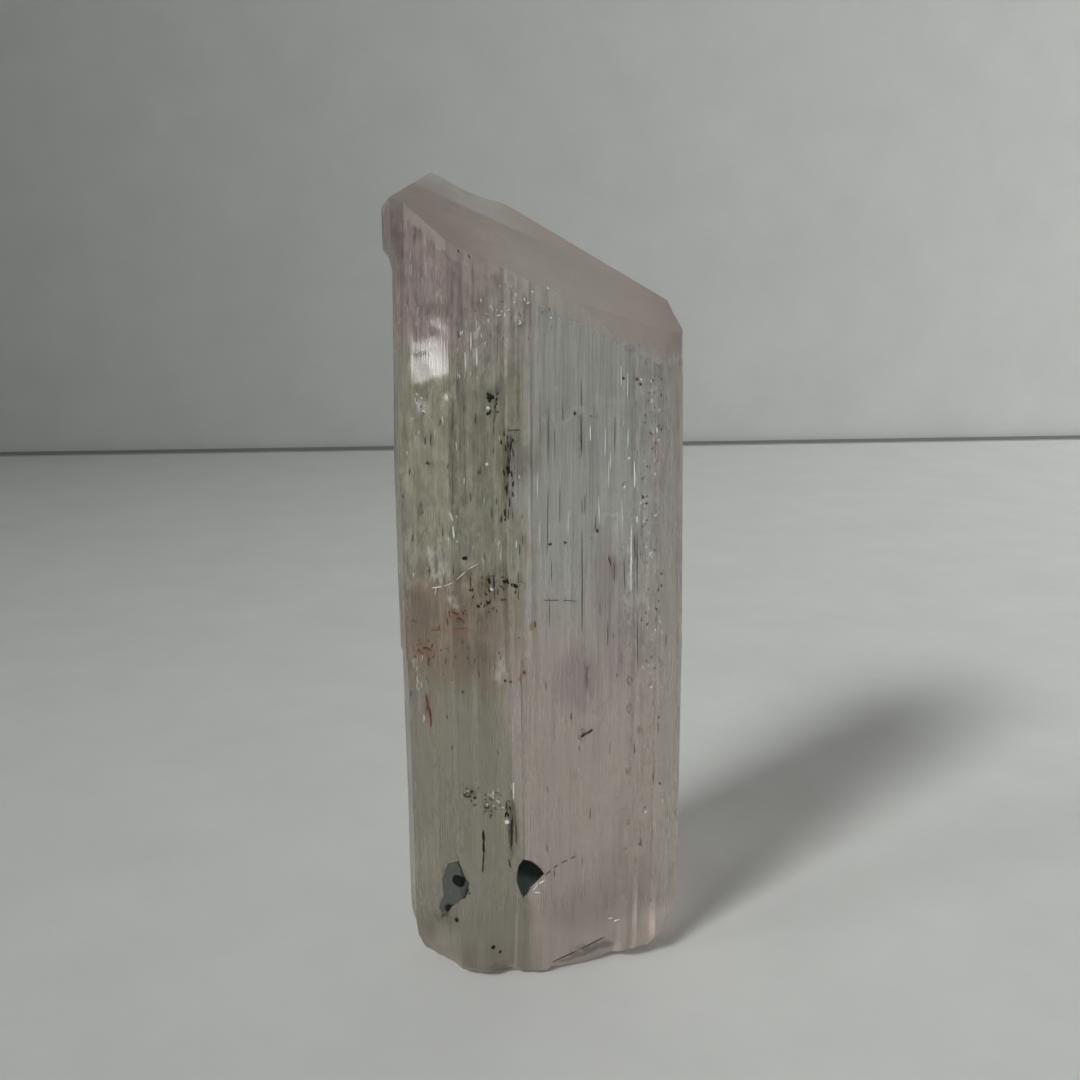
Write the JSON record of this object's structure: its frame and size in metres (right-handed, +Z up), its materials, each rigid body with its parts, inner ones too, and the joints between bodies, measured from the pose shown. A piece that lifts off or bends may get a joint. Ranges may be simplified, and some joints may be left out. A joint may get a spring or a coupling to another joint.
{
  "type": "kunzite crystal",
  "caption": "Upright flattened prism of clear pale pink kunzite with a slanted tip, fine upright ridges, a worn rounded base and small dark mineral grains set low in its front.",
  "frame": {"origin": "middle of the crystal's outer box, on the surface it stands on", "axes": "+Z up along the crystal's length, the striated wide face towards -Y, the high corner of the tip towards -X"},
  "size_m": [0.0222, 0.0127, 0.0602],
  "materials": {
    "kunzite": "satin",
    "grey_grain": "satin",
    "black_grain": "gloss"
  },
  "bodies": {
    "root": {"kunzite_crystal": "kunzite", "dark_grain_left": "grey_grain", "dark_grain_right": "black_grain"}
  },
  "joints": []
}
